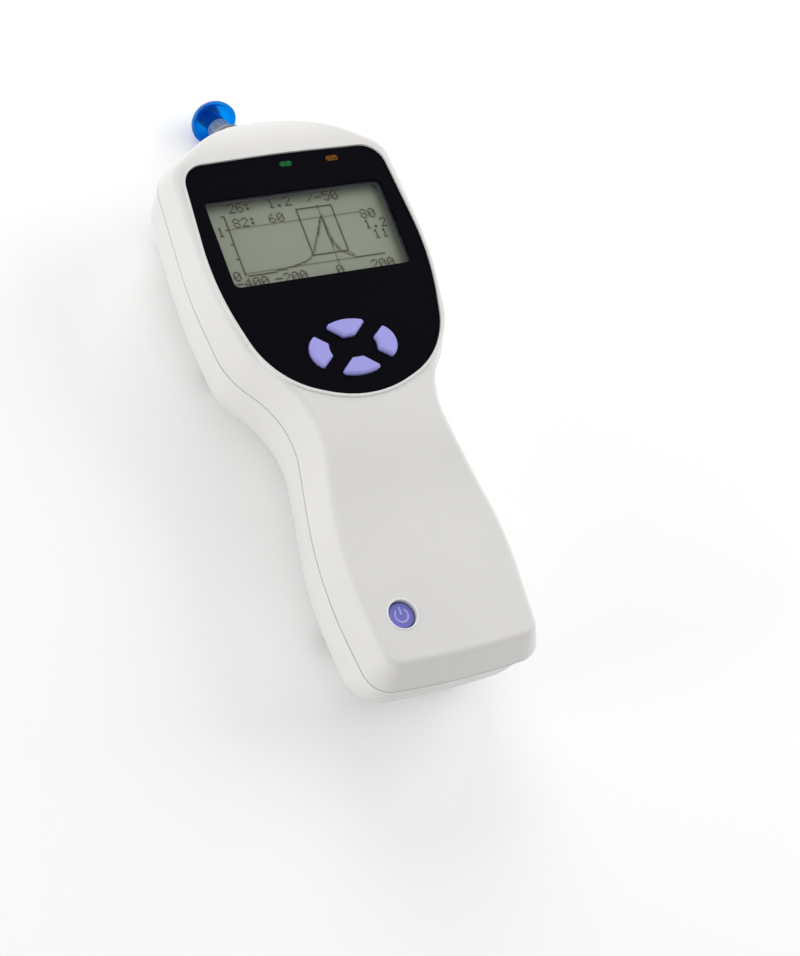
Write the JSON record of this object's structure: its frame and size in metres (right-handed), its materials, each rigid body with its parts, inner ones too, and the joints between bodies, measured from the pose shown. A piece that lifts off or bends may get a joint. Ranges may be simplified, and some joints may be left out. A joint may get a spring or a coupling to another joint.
{
  "type": "handheld tympanometer",
  "caption": "Handheld ear pressure tester with a wide display head, four arrow keys, a waisted handle and a tilted probe carrying a soft mushroom ear tip.",
  "frame": {"origin": "under the middle of the overall length, on the plane of the flat back that the device lies on", "axes": "+Y along the body from the handle to the probe, +X to the right seen from the display, +Z out of the display"},
  "size_m": [0.0794, 0.2089, 0.0414],
  "materials": {
    "shell": "fine satin moulding, warm off-white",
    "panel": "black, satin",
    "window": "clear, polished",
    "display": "grey green liquid crystal",
    "key": "pale violet, matt",
    "power_key": "violet blue, matt",
    "green_lens": "tinted, clear",
    "amber_lens": "tinted, clear",
    "circuit": "solder resist",
    "chip": "moulded black",
    "steel": "plated",
    "contact": "nickel plated strip",
    "cell_jacket": "printed jacket without text",
    "white_moulding": "moulded",
    "seal": "soft, dark",
    "collar": "mid grey, satin",
    "clear_nose": "clear moulding",
    "blue_rubber": "translucent blue silicone"
  },
  "bodies": {
    "housing": {"front_cover": "shell", "rear_cover": "shell", "control_panel": "panel", "lcd_bezel": "panel", "display_window": "window", "lcd_glass": "display", "lcd_backlight": "display", "green_light": "green_lens", "amber_light": "amber_lens", "main_board": "circuit", "board_chips": "chip", "buzzer": "chip", "key_switches": "chip", "power_switch": "chip", "receiver": "chip", "microphone": "chip", "case_screws": "steel", "board_screws": "steel", "pump_screws": "steel", "contact_springs": "steel", "pump_motor": "steel", "pump_frame": "steel", "contact_plates": "contact", "cell_1": "cell_jacket", "cell_2": "cell_jacket", "cell_3": "cell_jacket", "cell_4": "cell_jacket", "pump_cylinder": "white_moulding", "probe_body": "white_moulding", "sealing_washer": "seal", "pressure_tube": "seal", "retaining_ring": "collar"},
    "key_up": {"key_up": "key"},
    "key_down": {"key_down": "key"},
    "key_left": {"key_left": "key"},
    "key_right": {"key_right": "key"},
    "power_button": {"power_button": "power_key"},
    "battery_door": {"battery_door": "shell"},
    "lead_screw": {"lead_screw": "steel"},
    "piston": {"pump_piston": "white_moulding", "piston_seal": "seal"},
    "nose_cone": {"nose_cone": "clear_nose"},
    "ear_tip": {"ear_tip": "blue_rubber"}
  },
  "joints": [
    {"name": "key_up_press", "type": "slide", "parent": "housing", "child": "key_up", "axis": [0, 0, -1], "range_m": [0, 0.0005], "stiffness_N_per_m": 900},
    {"name": "key_down_press", "type": "slide", "parent": "housing", "child": "key_down", "axis": [0, 0, -1], "range_m": [0, 0.0005], "stiffness_N_per_m": 900},
    {"name": "key_left_press", "type": "slide", "parent": "housing", "child": "key_left", "axis": [0, 0, -1], "range_m": [0, 0.0005], "stiffness_N_per_m": 900},
    {"name": "key_right_press", "type": "slide", "parent": "housing", "child": "key_right", "axis": [0, 0, -1], "range_m": [0, 0.0005], "stiffness_N_per_m": 900},
    {"name": "power_button_press", "type": "slide", "parent": "housing", "child": "power_button", "axis": [0, 0, -1], "range_m": [0, 0.0005], "stiffness_N_per_m": 900},
    {"name": "battery_door_hinge", "type": "hinge", "parent": "housing", "child": "battery_door", "pos_m": [0, 0.01001, 0], "axis": [1, 0, 0], "range_deg": [0, 75]},
    {"name": "screw_turn", "type": "hinge", "parent": "housing", "child": "lead_screw", "pos_m": [-0.017, 0.03556, 0.014], "axis": [0, 1, 0], "range_deg": [-451, 451]},
    {"name": "piston_slide", "type": "slide", "parent": "housing", "child": "piston", "axis": [0, 1, 0], "range_m": [-0.005, 0.005]},
    {"name": "nose_cone_turn", "type": "hinge", "parent": "housing", "child": "nose_cone", "pos_m": [0, 0.09816, 0.0071], "axis": [0, 0.9063, -0.4226], "range_deg": [0, 90]},
    {"name": "ear_tip_pull", "type": "slide", "parent": "nose_cone", "child": "ear_tip", "axis": [0, 0.9063, -0.4226], "range_m": [0, 0.012]}
  ],
  "couplings": [
    {"joint": "screw_turn", "follows": "piston_slide", "rad_per_m": -1570.8}
  ]
}
